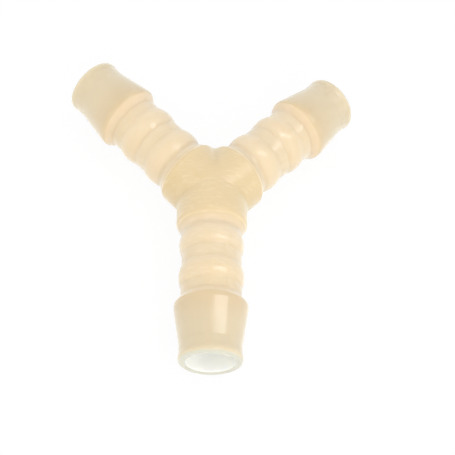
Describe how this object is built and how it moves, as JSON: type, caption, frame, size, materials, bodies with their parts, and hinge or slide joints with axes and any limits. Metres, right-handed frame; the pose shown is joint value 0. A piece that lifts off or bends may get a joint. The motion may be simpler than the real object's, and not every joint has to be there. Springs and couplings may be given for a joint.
{
  "type": "tubing y connector",
  "caption": "Y connector for flexible tubing: a stem that branches into a pair of arms, each leg bored through, with ring barbs and a shouldered end barb.",
  "frame": {"origin": "centre of the stem's open end, on the stem's axis", "axes": "+Y runs up the stem to the hub, +X and -X point to the two arms' sides, and +Z is square to the plane of the three legs"},
  "size_m": [0.085, 0.0945, 0.02],
  "materials": {
    "natural_nylon": "satin, natural ivory, slightly translucent"
  },
  "bodies": {
    "root": {"y_connector": "natural_nylon"}
  },
  "joints": []
}
